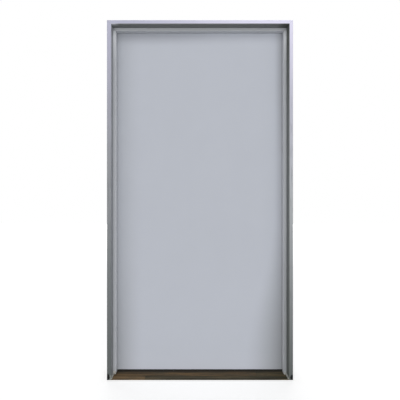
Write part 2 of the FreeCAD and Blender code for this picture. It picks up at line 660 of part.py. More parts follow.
for level_name, level in (("bottom", HINGE_LOW), ("middle", HINGE_MIDDLE), ("top", HINGE_HIGH)):
    build_hinge_plate("%s_hinge_frame_plate" % level_name, FRAME_PLATE_X, range(0, KNUCKLES, 2), level)
    build_hinge_plate("%s_hinge_leaf_plate" % level_name, LEAF_PLATE_X, range(1, KNUCKLES, 2), level)
    build_hinge_pin("%s_hinge_pin" % level_name, level)
    build_backing_plate("%s_hinge_backing_plate" % level_name, level)

doc.recompute()
for item in doc.Objects:
    if "Invalid" in item.State or "Error" in item.State:
        raise RuntimeError("%s did not build: %s" % (item.Name, item.State))
os.makedirs("parts", exist_ok=True)
for piece in pieces:
    if piece.Shape.isNull() or not piece.Shape.isValid():
        raise RuntimeError("%s has no valid shape" % piece.Label)
    piece.Shape.exportStep(os.path.join("parts", piece.Label + ".step"))
    print("%-30s %12.1f mm3  %d solid" % (piece.Label, piece.Shape.Volume, len(piece.Shape.Solids)))
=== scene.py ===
import math
import random

import bmesh
import bpy
from mathutils import Matrix, Vector


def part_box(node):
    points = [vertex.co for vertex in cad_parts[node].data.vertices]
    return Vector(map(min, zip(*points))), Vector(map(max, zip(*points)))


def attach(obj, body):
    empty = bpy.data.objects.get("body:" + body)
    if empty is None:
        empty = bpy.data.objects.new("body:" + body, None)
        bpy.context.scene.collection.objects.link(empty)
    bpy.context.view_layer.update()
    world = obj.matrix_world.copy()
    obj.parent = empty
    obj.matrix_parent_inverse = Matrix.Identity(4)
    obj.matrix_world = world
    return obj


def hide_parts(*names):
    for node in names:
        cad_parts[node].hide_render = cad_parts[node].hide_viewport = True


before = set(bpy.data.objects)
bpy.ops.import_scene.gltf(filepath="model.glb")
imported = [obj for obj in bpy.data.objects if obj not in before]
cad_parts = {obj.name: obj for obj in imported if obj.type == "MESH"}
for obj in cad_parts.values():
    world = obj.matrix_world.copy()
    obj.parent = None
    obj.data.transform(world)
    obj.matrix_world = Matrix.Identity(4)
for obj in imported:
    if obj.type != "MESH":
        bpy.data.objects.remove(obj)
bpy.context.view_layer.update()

# The viewpoint. The photograph looks straight at the door, level, from a little left of its middle
# and from above half its height. Its lens is shifted down, so that upright lines stay upright.
camera = bpy.data.cameras.new("viewpoint")
camera.lens = 27.0
camera.sensor_width = 36.0
camera.shift_x = 0.0175
camera.shift_y = -0.055
camera.clip_start = 0.02
viewpoint = bpy.data.objects.new("viewpoint", camera)
viewpoint.location = (-0.042, -1.8638, 1.2116)
viewpoint.rotation_euler = (math.radians(90), 0, 0)
bpy.context.scene.collection.objects.link(viewpoint)
bpy.context.scene.camera = viewpoint
bpy.context.scene.view_settings.view_transform = "Standard"


# The studio is a pale floor under an even surround, with two soft boxes before the door and two
# weaker ones behind it. What the camera sees of the surround and of the lit floor is white.
def add_node(tree, kind, sockets=None, **settings):
    """A shader node. Sockets are given by name or number, as a value or as another node's output."""
    made = tree.nodes.new("ShaderNode" + kind)
    for name, value in settings.items():
        setattr(made, name, value)
    for key, value in (sockets or {}).items():
        if isinstance(value, bpy.types.NodeSocket):
            tree.links.new(value, made.inputs[key])
        else:
            made.inputs[key].default_value = value
    return made


def calculate(tree, operation, *values):
    """One sum on values or outputs."""
    sockets = {index: value for index, value in enumerate(values)}
    return add_node(tree, "Math", sockets, operation=operation).outputs[0]


def between(tree, share, low, high):
    """A value that goes evenly from low to high as the share goes from nought to one."""
    return calculate(tree, "MULTIPLY_ADD", share, high - low, low)


def rise(tree, value, low, high, start=0.0, end=1.0):
    """A smooth change from start to end as the value goes from low to high."""
    made = add_node(tree, "MapRange", {"Value": value, "From Min": low, "From Max": high,
                                       "To Min": start, "To Max": end}, interpolation_type="SMOOTHSTEP")
    return made.outputs["Result"]


def blend_colour(tree, amount, first, second):
    """Two colours mixed by an amount."""
    made = add_node(tree, "Mix", {"Factor": amount, "A": first, "B": second}, data_type="RGBA")
    return made.outputs["Result"]


def seen_rays(tree):
    """One for the rays that the camera, gloss or glass sends out, and nought for the rest."""
    path = add_node(tree, "LightPath")
    seen = calculate(tree, "MAXIMUM", path.outputs["Is Camera Ray"], path.outputs["Is Glossy Ray"])
    return calculate(tree, "MAXIMUM", seen, path.outputs["Is Transmission Ray"])


white = (1, 1, 1, 1)
surround_level = 0.185
surround_seen_level = 1.0
surround = bpy.data.worlds.new("surround")
surround.use_nodes = True
surround_tree = surround.node_tree
surround_light = surround_tree.nodes["Background"]
surround_light.inputs["Color"].default_value = white
surround_strength = between(surround_tree, seen_rays(surround_tree), surround_level, surround_seen_level)
surround_tree.links.new(surround_strength, surround_light.inputs["Strength"])
bpy.context.scene.world = surround

floor_colour = (0.26, 0.26, 0.26, 1)
floor_seen_colour = (0.62, 0.62, 0.62, 1)
floor_half = 6.0
floor_level = -0.001
floor_lift = 0.57
floor_lift_start = 2.2
floor_lift_end = 5.2
floor_mesh = bpy.data.meshes.new("studio_floor")
floor_shape = bmesh.new()
bmesh.ops.create_grid(floor_shape, x_segments=2, y_segments=2, size=floor_half,
                      matrix=Matrix.Translation((0, 0, floor_level)))
floor_shape.to_mesh(floor_mesh)
floor_shape.free()
floor = bpy.data.objects.new("studio_floor", floor_mesh)
bpy.context.scene.collection.objects.link(floor)
floor_paper = bpy.data.materials.new("studio paper")
floor_paper.use_nodes = True
floor_tree = floor_paper.node_tree
floor_shader = floor_tree.nodes["Principled BSDF"]
floor_shader.inputs["Roughness"].default_value = 0.9
floor_shader.inputs["Specular IOR Level"].default_value = 0.1
floor_shader.inputs["Emission Color"].default_value = white
floor_seen = seen_rays(floor_tree)
floor_tree.links.new(blend_colour(floor_tree, floor_seen, floor_colour, floor_seen_colour),
                     floor_shader.inputs["Base Color"])
floor_place = add_node(floor_tree, "TexCoord").outputs["Object"]
floor_distance = add_node(floor_tree, "VectorMath", {0: floor_place}, operation="LENGTH").outputs["Value"]
floor_glow = rise(floor_tree, floor_distance, floor_lift_start, floor_lift_end, floor_lift)
floor_tree.links.new(calculate(floor_tree, "MULTIPLY", floor_seen, floor_glow),
                     floor_shader.inputs["Emission Strength"])
floor_mesh.materials.append(floor_paper)

for box_name, box_place, box_turn, box_width, box_height, box_power in (
    ("front_soft_box", (0.8, -7.0, 0.97), 90, 12.0, 1.9, 300),
    ("front_upper_box", (3.0, -12.9, 10.8), 52, 40.0, 8.0, 2040),
    ("rear_soft_box", (-0.8, 7.0, 0.97), -90, 12.0, 1.9, 235),
    ("rear_upper_box", (-3.0, 12.9, 10.8), -52, 40.0, 8.0, 1600),
):
    box_lamp = bpy.data.lights.new(box_name, "AREA")
    box_lamp.shape = "RECTANGLE"
    box_lamp.size = box_width
    box_lamp.size_y = box_height
    box_lamp.energy = box_power
    soft_box = bpy.data.objects.new(box_name, box_lamp)
    soft_box.location = box_place
    soft_box.rotation_euler = (math.radians(box_turn), 0, 0)
    soft_box.visible_camera = False
    bpy.context.scene.collection.objects.link(soft_box)


# The frame is one folded section of 1.5 mm steel sheet for both jambs and the head, mitred at the
# top corners, welded from inside and ground smooth. It is painted in satin grey enamel where it
# shows. In the throat it keeps its flat primer.
def new_group(name, inputs, outputs):
    """An empty group of shader nodes, with its two end nodes."""
    group = bpy.data.node_groups.new(name, "ShaderNodeTree")
    for socket, kind, value in inputs:
        made = group.interface.new_socket(name=socket, in_out="INPUT", socket_type=kind)
        made.default_value = value
    for socket, kind in outputs:
        group.interface.new_socket(name=socket, in_out="OUTPUT", socket_type=kind)
    return group, group.nodes.new("NodeGroupInput").outputs, group.nodes.new("NodeGroupOutput").inputs


def add_group(tree, group, **values):
    """A group placed in a material with its own values, and its outputs."""
    made = tree.nodes.new("ShaderNodeGroup")
    made.node_tree = group
    for name, value in values.items():
        if isinstance(value, bpy.types.NodeSocket):
            tree.links.new(value, made.inputs[name])
        else:
            made.inputs[name].default_value = value
    return made.outputs


def product(tree, first, *others):
    """Values or outputs multiplied together."""
    for other in others:
        first = calculate(tree, "MULTIPLY", first, other)
    return first


def scale_colour(tree, colour, amount):
    """A colour made lighter or darker by an amount."""
    return add_node(tree, "VectorMath", {0: colour, "Scale": amount}, operation="SCALE").outputs[0]


def colour_scale(tree, value, stops):
    """A run of colours, each with its place from 0 to 1."""
    made = add_node(tree, "ValToRGB", {"Fac": value})
    ramp = made.color_ramp
    ramp.elements[0].position, ramp.elements[0].color = stops[0]
    ramp.elements[1].position, ramp.elements[1].color = stops[-1]
    for place, colour in stops[1:-1]:
        ramp.elements.new(place).color = colour
    return made.outputs["Color"]


def stretch(tree, place, scale, turn=(0, 0, 0)):
    """The place scaled along each axis, and turned, so that a pattern runs long one way."""
    return add_node(tree, "Mapping", {"Vector": place, "Rotation": turn, "Scale": scale}).outputs[0]


def noise(tree, place, scale, detail=2.0, roughness=0.5, distortion=0.0):
    """A cloudy value, mostly near a half, with the noise's own settings in their usual order."""
    made = add_node(tree, "TexNoise", {"Vector": place, "Scale": scale, "Detail": detail,
                                       "Roughness": roughness, "Distortion": distortion})
    return made.outputs["Fac"]


def new_material(name, roughness, metallic=0.0, gloss=0.5):
    """A material with its tree, its shader and the place on the object."""
    material = bpy.data.materials.new(name)
    material.use_nodes = True
    tree = material.node_tree
    shader = tree.nodes["Principled BSDF"]
    shader.inputs["Roughness"].default_value = roughness
    shader.inputs["Metallic"].default_value = metallic
    shader.inputs["Specular IOR Level"].default_value = gloss
    return material, tree, shader, add_node(tree, "TexCoord").outputs["Object"]


def axes(tree, place):
    """The place across, in depth and in height."""
    return add_node(tree, "SeparateXYZ", {0: place}).outputs


def relief(tree, shader, height, strength, distance, rounded=None):
    """Fine relief on a surface: a height with its strength and its depth in metres."""
    sockets = {"Height": height, "Strength": strength, "Distance": distance}
    if rounded is not None:
        sockets["Normal"] = rounded
    tree.links.new(add_node(tree, "Bump", sockets).outputs[0], shader.inputs["Normal"])


def dress(material, *names):
    for name in names:
        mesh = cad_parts[name].data
        mesh.materials.clear()
        mesh.materials.append(material)


# Paint that was sprayed on sheet: a fine peel in its gloss, and a faint unevenness in its tone.
# The tone is one where cloud and speckle are both at their middle.
spray_speckle = 0.35
spray_middle = 0.675
spray_contrast = 3.0
spray_coat, spray_in, spray_out = new_group(
    "sprayed coat",
    [("Place", "NodeSocketVector", (0, 0, 0)), ("Unevenness", "NodeSocketFloat", 0.03)],
    [("Tone", "NodeSocketFloat"), ("Peel", "NodeSocketFloat"), ("Dulling", "NodeSocketFloat")])
spray_peel = noise(spray_coat, spray_in["Place"], 420.0, 2.0, 0.45)
spray_cloud = noise(spray_coat, spray_in["Place"], 5.5, 4.0, 0.55, 0.4)
spray_fine = noise(spray_coat, spray_in["Place"], 60.0, 5.0, 0.7)
spray_sum = calculate(spray_coat, "MULTIPLY_ADD", spray_fine, spray_speckle, spray_cloud)
spray_tone = calculate(spray_coat, "MULTIPLY_ADD", calculate(spray_coat, "SUBTRACT", spray_sum, spray_middle),
                       product(spray_coat, spray_in["Unevenness"], spray_contrast), 1.0)
spray_coat.links.new(spray_tone, spray_out["Tone"])
spray_coat.links.new(spray_peel, spray_out["Peel"])
spray_coat.links.new(spray_fine, spray_out["Dulling"])

# Wear along the edges of sheet and plate, broken up by a noise. The rounded normal softens them.
wear_patch_fade = 0.16
wear_turn_start = 0.02
wear_turn_full = 0.16
edge_wear, wear_in, wear_out = new_group(
    "edge wear",
    [("Place", "NodeSocketVector", (0, 0, 0)), ("Width", "NodeSocketFloat", 0.002),
     ("Patchiness", "NodeSocketFloat", 0.55)],
    [("Mask", "NodeSocketFloat"), ("Rounded", "NodeSocketVector")])
wear_round = add_node(edge_wear, "Bevel", {"Radius": wear_in["Width"]}, samples=6).outputs[0]
wear_face = add_node(edge_wear, "NewGeometry").outputs["Normal"]
wear_dot = add_node(edge_wear, "VectorMath", {0: wear_round, 1: wear_face}, operation="DOT_PRODUCT")
wear_turn = calculate(edge_wear, "SUBTRACT", 1.0, wear_dot.outputs["Value"])
wear_patch = rise(edge_wear, noise(edge_wear, wear_in["Place"], 34.0, 6.0, 0.7), wear_in["Patchiness"],
                  calculate(edge_wear, "ADD", wear_in["Patchiness"], wear_patch_fade))
wear_edge = rise(edge_wear, wear_turn, wear_turn_start, wear_turn_full)
edge_wear.links.new(product(edge_wear, wear_edge, wear_patch), wear_out["Mask"])
edge_wear.links.new(wear_round, wear_out["Rounded"])

jamb_low, jamb_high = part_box("right_jamb")
outer_side = jamb_high.x
frame_top = jamb_high.z
front_plane = jamb_low.y
face_reach = -front_plane
rabbet_side = 0.5335
stop_side = 0.5175
stop_reach = 0.016
mitre_line = frame_top - outer_side
rabbet_top = rabbet_side + mitre_line
stop_top = stop_side + mitre_line

# A patch of colour reaches a hair past the face that it covers. Where the sheet's two sides differ,
# it ends in the middle of the sheet.
hair = 0.0006
sheet_middle = 0.0008

# Painted light: the faces' colours from foot to head, lighter at the head and on the right face.
left_face_painted_light = [(0.00, (0.095, 0.105, 0.103, 1)), (0.30, (0.175, 0.188, 0.195, 1)),
             (0.60, (0.270, 0.280, 0.300, 1)), (1.00, (0.460, 0.463, 0.580, 1))]
right_face_painted_light = [(0.00, (0.090, 0.100, 0.097, 1)), (0.50, (0.385, 0.405, 0.420, 1)),
              (0.78, (0.490, 0.495, 0.575, 1)), (1.00, (0.750, 0.737, 0.895, 1))]
smudge_colour = (0.130, 0.138, 0.145, 1)
rear_colour = (0.430, 0.446, 0.485, 1)
stop_colour = (0.470, 0.486, 0.513, 1)
# Painted light: the lighter colour of the stop's returns and top.
stop_lit_colour = (0.710, 0.727, 0.755, 1)
# Painted shade and light in the rabbet: its walls' shaded colours, a lit colour near the left bend, and a
# darker shade colour.
left_wall_shaded_colour = (0.300, 0.312, 0.330, 1)
left_bend_lit_colour = (0.440, 0.452, 0.480, 1)
right_wall_shaded_colour = (0.175, 0.186, 0.185, 1)
head_wall_shaded_colour = (0.200, 0.208, 0.205, 1)
wall_shade_colour = (0.056, 0.064, 0.050, 1)
primer_colour = (0.215, 0.212, 0.200, 1)
rust_colour = (0.165, 0.070, 0.030, 1)
black_spot_colour = (0.006, 0.007, 0.007, 1)
bare_foot_colour = (0.470, 0.452, 0.425, 1)
smear_colour = (0.205, 0.220, 0.205, 1)
bare_steel_colour = (0.560, 0.565, 0.570, 1)
seam_colour = (0.160, 0.165, 0.175, 1)

frame_paint, paint_tree, paint_shader, paint_place = new_material("frame paint", roughness=0.45, gloss=0.2)
paint_x, paint_y, paint_z = axes(paint_tree, paint_place)
reach_x = calculate(paint_tree, "ABSOLUTE", paint_x)
reach_y = calculate(paint_tree, "ABSOLUTE", paint_y)
on_left = calculate(paint_tree, "LESS_THAN", paint_x, 0.0)
on_right = calculate(paint_tree, "GREATER_THAN", paint_x, 0.0)
on_lock_side = rise(paint_tree, paint_x, 0.460, 0.515)
coat = add_group(paint_tree, spray_coat, Place=paint_place, Unevenness=0.035)


def outside(side, top):
    """One where the frame lies past a distance from its middle, or over a height."""
    return calculate(paint_tree, "MAXIMUM", calculate(paint_tree, "GREATER_THAN", reach_x, side),
                     calculate(paint_tree, "GREATER_THAN", paint_z, top))


def inside(side, top):
    """One where the frame lies within a distance from its middle, and under a height."""
    return product(paint_tree, calculate(paint_tree, "LESS_THAN", reach_x, side),
                   calculate(paint_tree, "LESS_THAN", paint_z, top))


# The two faces carry painted light: the right face is lighter than the left, and both go from a pale lavender
# painted reflection at the head to a dark grey at the foot, with long smudges below shoulder height. The
# outer edges have the colour of the faces.
rim_start = 0.0012
rim_full = 0.0004
on_face = rise(paint_tree, reach_y, face_reach - 0.0022, face_reach - hair)
on_rim = calculate(paint_tree, "MAXIMUM",
                   rise(paint_tree, reach_x, outer_side - rim_start, outer_side - rim_full),
                   rise(paint_tree, paint_z, frame_top - rim_start, frame_top - rim_full))
up_frame = calculate(paint_tree, "DIVIDE", paint_z, frame_top)
face_colour = blend_colour(paint_tree, rise(paint_tree, paint_x, -0.5, 0.5),
                           colour_scale(paint_tree, up_frame, left_face_painted_light),
                           colour_scale(paint_tree, up_frame, right_face_painted_light))
smudge_noise = noise(paint_tree, stretch(paint_tree, paint_place, (90.0, 90.0, 9.0)), 1.0, 4.0, 0.6)
smudge = product(paint_tree, rise(paint_tree, smudge_noise, 0.50, 0.66, 0.0, 0.30),
                 rise(paint_tree, paint_z, 1.85, 1.40))
face_colour = blend_colour(paint_tree, smudge, face_colour, smudge_colour)
face_colour = blend_colour(paint_tree, calculate(paint_tree, "GREATER_THAN", paint_y, 0.0), face_colour,
                           rear_colour)

# Painted shade lies in the front rabbet: its walls are darker than the paint, the right wall and the head's
# wall most, and darker still under the head on the lock side and towards the foot, most on the lock side. The
# left wall is painted lighter near its front bend, a painted light.
wall_start = 0.0040
wall_full = 0.0012
in_rabbet = product(paint_tree, rise(paint_tree, paint_y, -stop_reach, -stop_reach - 0.002), calculate(
    paint_tree, "MAXIMUM", rise(paint_tree, reach_x, rabbet_side - wall_start, rabbet_side - wall_full),
    rise(paint_tree, paint_z, rabbet_top - wall_start, rabbet_top - wall_full)))
shaded_wall_colour = blend_colour(paint_tree, on_right, left_wall_shaded_colour, right_wall_shaded_colour)
under_head = calculate(paint_tree, "GREATER_THAN", paint_z, rabbet_top - 0.0004)
shaded_wall_colour = blend_colour(paint_tree, under_head, shaded_wall_colour, head_wall_shaded_colour)
lit_left_bend = product(paint_tree, rise(paint_tree, paint_y, -0.042, -0.057),
                     rise(paint_tree, paint_x, -0.48, -0.52), rise(paint_tree, paint_z, 0.9, 1.7, 0.3, 1.0))
shaded_wall_colour = blend_colour(paint_tree, lit_left_bend, shaded_wall_colour, left_bend_lit_colour)
head_shade = product(paint_tree, rise(paint_tree, paint_z, 1.5, 2.1, 0.0, 0.75), on_lock_side)
foot_shade = product(paint_tree, rise(paint_tree, paint_z, 1.1, 0.1, 0.0, 0.35),
                     between(paint_tree, on_lock_side, 1.0, 1.6))
shaded_wall_colour = blend_colour(paint_tree, calculate(paint_tree, "MAXIMUM", head_shade, foot_shade), shaded_wall_colour,
                           wall_shade_colour)

# The stop carries painted light at its returns and at its top, and painted shade towards its foot on the lock
# side.
lit_stop_top = product(paint_tree, rise(paint_tree, paint_z, 1.90, 2.10, 0.0, 0.8),
                    rise(paint_tree, paint_z, stop_top + 0.004, stop_top - 0.001))
in_return = product(paint_tree, inside(stop_side + hair, stop_top + hair),
                    rise(paint_tree, reach_y, stop_reach - 0.0002, stop_reach - 0.0026),
                    rise(paint_tree, paint_z, stop_top - 0.004, stop_top - 0.001, 1.0, 0.3))
stop_tone = blend_colour(paint_tree, lit_stop_top, stop_colour, stop_lit_colour)
stop_tone = blend_colour(paint_tree, product(paint_tree, foot_shade, on_lock_side, 0.45), stop_tone,
                         wall_shade_colour)
stop_tone = blend_colour(paint_tree, in_return, stop_tone, stop_lit_colour)
paint_colour = blend_colour(paint_tree, in_rabbet, stop_tone, shaded_wall_colour)
paint_colour = blend_colour(paint_tree, calculate(paint_tree, "MAXIMUM", on_face, on_rim), paint_colour,
                            face_colour)

# The rabbet's painted shade is carried round the inner bend of the front face, on the lock side and on the
# head.
unshaded_left_bend = 0.0050
past_side = calculate(paint_tree, "MULTIPLY_ADD", on_left, unshaded_left_bend,
                      calculate(paint_tree, "SUBTRACT", reach_x, rabbet_side))
past_head = calculate(paint_tree, "SUBTRACT", paint_z, rabbet_top + hair)
shaded_bend = product(paint_tree,
                  rise(paint_tree, calculate(paint_tree, "MAXIMUM", past_side, past_head), 0.0052, 0.0026),
                  calculate(paint_tree, "LESS_THAN", paint_y, -0.040))
paint_colour = blend_colour(paint_tree, shaded_bend, paint_colour, shaded_wall_colour)
paint_colour = scale_colour(paint_tree, paint_colour, coat["Tone"])

# The left stop's foot is bare and pale, and sealant is smeared on the lip before it.
stop_middle = (stop_side + rabbet_side) / 2
bare_top = 0.032
bare_ragged = 0.012
smear_top = 0.036
smear_ragged = 0.010
foot_noise = noise(paint_tree, paint_place, 90.0, 4.0)
on_left_stop = product(paint_tree, calculate(paint_tree, "COMPARE", paint_y, -stop_reach, 0.0022),
                       calculate(paint_tree, "COMPARE", paint_x, -stop_middle, 0.0085))
bare_edge = calculate(paint_tree, "MULTIPLY_ADD", foot_noise, bare_ragged, paint_z)
bare_foot = product(paint_tree, rise(paint_tree, bare_edge, bare_top, bare_top - 0.006), on_left_stop)
paint_colour = blend_colour(paint_tree, bare_foot, paint_colour, bare_foot_colour)
smear_edge = calculate(paint_tree, "MULTIPLY_ADD", foot_noise, smear_ragged, paint_z)
smear = product(paint_tree, rise(paint_tree, smear_edge, smear_top, smear_top - 0.007),
                rise(paint_tree, paint_x, -0.5455, -0.5440),
                calculate(paint_tree, "LESS_THAN", paint_y, -0.050), on_left)
paint_colour = blend_colour(paint_tree, smear, paint_colour, smear_colour)

# Both outer corners of the front are painted black in a round spot, which is lower on the lock side.
black_spot_side = 0.5530
black_spot_level = 0.016
black_spot_width = 0.0115
black_spot_height = 0.020
black_spot_lock_height = 0.015
black_spot_ragged = 0.4
black_spot_across = calculate(paint_tree, "DIVIDE", calculate(paint_tree, "SUBTRACT", reach_x, black_spot_side),
                        black_spot_width)
black_spot_up = calculate(paint_tree, "DIVIDE", calculate(paint_tree, "SUBTRACT", paint_z, black_spot_level),
                    between(paint_tree, on_lock_side, black_spot_height, black_spot_lock_height))
black_spot_reach = calculate(paint_tree, "SQRT", calculate(
    paint_tree, "MULTIPLY_ADD", black_spot_across, black_spot_across, product(paint_tree, black_spot_up, black_spot_up)))
black_spot_spread = calculate(paint_tree, "MULTIPLY_ADD", foot_noise, black_spot_ragged, black_spot_reach)
black_spot_corner = product(paint_tree, rise(paint_tree, black_spot_spread, 1.45, 1.00),
                      rise(paint_tree, paint_y, -0.045, -0.060))
paint_colour = blend_colour(paint_tree, black_spot_corner, paint_colour, black_spot_colour)

# In the throat the primer has gone patchy, with a bloom of rust here and there.
in_flat = product(paint_tree, calculate(paint_tree, "LESS_THAN", reach_y, face_reach - sheet_middle),
                  outside(rabbet_side + sheet_middle, rabbet_top + sheet_middle))
in_stop = product(paint_tree, calculate(paint_tree, "LESS_THAN", reach_y, stop_reach - sheet_middle),
                  outside(stop_side + sheet_middle, stop_top + sheet_middle))
in_throat = product(paint_tree, calculate(paint_tree, "MAXIMUM", in_flat, in_stop),
                    inside(outer_side - hair, frame_top - hair))
rust_bloom = rise(paint_tree, noise(paint_tree, paint_place, 11.0, 8.0, 0.72), 0.60, 0.72, 0.0, 0.55)
paint_colour = blend_colour(paint_tree, in_throat, paint_colour,
                            blend_colour(paint_tree, rust_bloom, primer_colour, rust_colour))

# Edges are rubbed through in places, and the ground mitres show as a faint flat band.
wear = add_group(paint_tree, edge_wear, Place=paint_place, Width=0.0016, Patchiness=0.60)
paint_colour = blend_colour(paint_tree, product(paint_tree, wear["Mask"], 0.35), paint_colour,
                            bare_steel_colour)
off_mitre = calculate(paint_tree, "ABSOLUTE", calculate(
    paint_tree, "SUBTRACT", calculate(paint_tree, "SUBTRACT", paint_z, reach_x), mitre_line))
paint_colour = blend_colour(paint_tree, rise(paint_tree, off_mitre, 0.0011, 0.0003, 0.0, 0.45), paint_colour,
                            seam_colour)
paint_tree.links.new(paint_colour, paint_shader.inputs["Base Color"])
primer_dull = 0.85
paint_dull = calculate(paint_tree, "MAXIMUM", between(paint_tree, coat["Dulling"], 0.36, 0.52), black_spot_corner)
paint_dull = calculate(paint_tree, "MAXIMUM", paint_dull, product(paint_tree, in_throat, primer_dull))
paint_tree.links.new(paint_dull, paint_shader.inputs["Roughness"])
ground_band = rise(paint_tree, off_mitre, 0.010, 0.002, 0.0, 0.6)
relief(paint_tree, paint_shader, calculate(paint_tree, "MULTIPLY_ADD", coat["Peel"], 0.5, ground_band), 0.5,
       0.00025, wear["Rounded"])
dress(frame_paint, "left_jamb", "right_jamb", "head")


# Weld holds the frame together on the throat's side: a bead along each mitre, between the section's
# two rabbet walls and across the stop. It is laid by hand, so it is rippled.
def finish_piece(name, shape, body, slot, *materials, smooth=True):
    """A new piece from a bmesh, riding on a body, with its materials. The slot is not used."""
    bmesh.ops.recalc_face_normals(shape, faces=shape.faces)
    mesh = bpy.data.meshes.new(name)
    shape.to_mesh(mesh)
    shape.free()
    for face in mesh.polygons:
        face.use_smooth = smooth
    for material in materials:
        mesh.materials.append(material)
    piece = bpy.data.objects.new(name, mesh)
    bpy.context.scene.collection.objects.link(piece)
    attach(piece, body)
    return piece


def join_shape(shape, added):
    """One bmesh added to another."""
    holder = bpy.data.meshes.new("holder")
    added.to_mesh(holder)
    added.free()
    shape.from_mesh(holder)
    bpy.data.meshes.remove(holder)


weld_radius = 0.0022
weld_proud = 0.0004
weld_end = 0.45
weld_taper = 14
ripple_pitch = 0.0035
ripple_rings = 4
ripple_depth = 0.13
ripple_skew = 2 / 3


def lay_weld(shape, start, end):
    """A round run of weld from start to end, with a ripple every few millimetres and drawn-in ends."""
    run = Vector(end) - Vector(start)
    ripples = max(3, round(run.length / ripple_pitch))
    bead = bmesh.new()
    bmesh.ops.create_cone(bead, cap_ends=True, segments=12, radius1=weld_radius, radius2=weld_radius,
                          depth=run.length)
    lengthwise = [edge for edge in bead.edges if abs(edge.verts[0].co.z - edge.verts[1].co.z) > weld_radius]
    bmesh.ops.subdivide_edges(bead, edges=lengthwise, cuts=ripples * ripple_rings - 1, use_grid_fill=True)
    for vert in bead.verts:
        along = vert.co.z / run.length
        turn = 2 * math.pi * ripples * along + ripple_skew * vert.co.x / weld_radius
        swell = 1 + ripple_depth * math.sin(turn)
        taper = min(1.0, weld_end + weld_taper * (0.5 - abs(along)))
        vert.co.xy = vert.co.xy * swell * taper
    turned = run.to_track_quat("Z", "Y").to_matrix().to_4x4()
    middle = (Vector(start) + Vector(end)) / 2
    bmesh.ops.transform(bead, matrix=Matrix.Translation(middle) @ turned, verts=bead.verts)
    join_shape(shape, bead)


sheet = 0.0015
face_margin = 0.006
stop_margin = 0.004
wall_margin = 0.001
weld_metal, weld_tree, weld_shader, weld_place = new_material("weld metal", roughness=0.5, metallic=0.55)
weld_noise = noise(weld_tree, weld_place, 160.0, 6.0)
weld_tree.links.new(colour_scale(weld_tree, weld_noise, [
    (0.30, (0.05, 0.045, 0.04, 1)), (0.50, (0.17, 0.16, 0.15, 1)), (0.70, (0.30, 0.27, 0.24, 1))]),
                    weld_shader.inputs["Base Color"])
relief(weld_tree, weld_shader, weld_noise, 0.5, 0.0004)
for side_name, side in (("left", -1), ("right", 1)):
    welds = bmesh.new()
    for near, far, level in ((-face_reach + face_margin, -stop_reach - wall_margin, rabbet_side + sheet),
                             (-stop_reach + stop_margin, stop_reach - stop_margin, stop_side + sheet),
                             (stop_reach + wall_margin, face_reach - face_margin, rabbet_side + sheet)):
        corner = Vector((side * (level + weld_proud), 0, level + mitre_line + weld_proud))
        lay_weld(welds, corner + Vector((0, near, 0)), corner + Vector((0, far, 0)))
    finish_piece(side_name + "_mitre_weld", welds, "frame", "galvanised_steel", weld_metal)

# The anchors are folded from galvanised sheet, whose zinc has set in spangles and bloomed white in
# places. They are spot welded inside the jambs' faces.
spangle_ragged = 0.006
zinc_bloom_colour = (0.42, 0.42, 0.40, 1)
galvanised, zinc_tree, zinc_shader, zinc_place = new_material("galvanised sheet", roughness=0.42,
                                                              metallic=0.75)
zinc_warp = add_node(zinc_tree, "TexNoise", {"Vector": zinc_place, "Scale": 70.0, "Detail": 2.0})
zinc_turned = add_node(zinc_tree, "VectorMath", {
    0: zinc_place, 1: scale_colour(zinc_tree, zinc_warp.outputs["Color"], spangle_ragged)}, operation="ADD")
zinc_spangle = add_node(zinc_tree, "TexVoronoi", {"Vector": zinc_turned.outputs[0], "Scale": 110.0})
zinc_grey = add_node(zinc_tree, "SeparateColor", {0: zinc_spangle.outputs["Color"]})
zinc_colour = colour_scale(zinc_tree, zinc_grey.outputs[0], [
    (0.0, (0.25, 0.26, 0.27, 1)), (0.5, (0.31, 0.32, 0.33, 1)), (1.0, (0.39, 0.40, 0.41, 1))])
zinc_bloom = rise(zinc_tree, noise(zinc_tree, zinc_place, 22.0, 7.0, 0.7), 0.56, 0.72, 0.0, 0.5)
zinc_tree.links.new(blend_colour(zinc_tree, zinc_bloom, zinc_colour, zinc_bloom_colour),
                    zinc_shader.inputs["Base Color"])
zinc_dull = between(zinc_tree, zinc_bloom, 0.30, 0.60)
zinc_tree.links.new(calculate(zinc_tree, "MULTIPLY_ADD", zinc_grey.outputs[1], 0.22, zinc_dull),
                    zinc_shader.inputs["Roughness"])
zinc_edge = add_group(zinc_tree, edge_wear, Place=zinc_place, Width=0.0008)
relief(zinc_tree, zinc_shader, zinc_spangle.outputs["Distance"], 0.15, 0.0003, zinc_edge["Rounded"])
anchor_names = ["%s_wall_anchor_%d" % (side_name, count) for side_name in ("left", "right")
                for count in (1, 2, 3, 4)]
anchor_names += ["left_floor_anchor", "right_floor_anchor"]
dress(galvanised, *anchor_names)

spot_radius = 0.0038
spot_top_share = 0.55
spot_depth = 0.0005
spot_steps = (-0.011, 0.011)
for side_name in ("left", "right"):
    spots = bmesh.new()
    for name in anchor_names:
        if not name.startswith(side_name):
            continue
        low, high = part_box(name)
        for leg, facing in ((low.y + sheet, 1), (high.y - sheet, -1)):
            for step in spot_steps:
                place = Vector(((low.x + high.x) / 2, leg + facing * spot_depth / 2,
                                (low.z + high.z) / 2 + step))
                turn = Matrix.Rotation(math.radians(-90 * facing), 4, "X")
                bmesh.ops.create_cone(spots, cap_ends=True, segments=14, radius1=spot_radius,
                                      radius2=spot_radius * spot_top_share, depth=spot_depth,
                                      matrix=Matrix.Translation(place) @ turn)
    finish_piece(side_name + "_spot_welds", spots, "frame", "galvanised_steel", weld_metal, smooth=False)

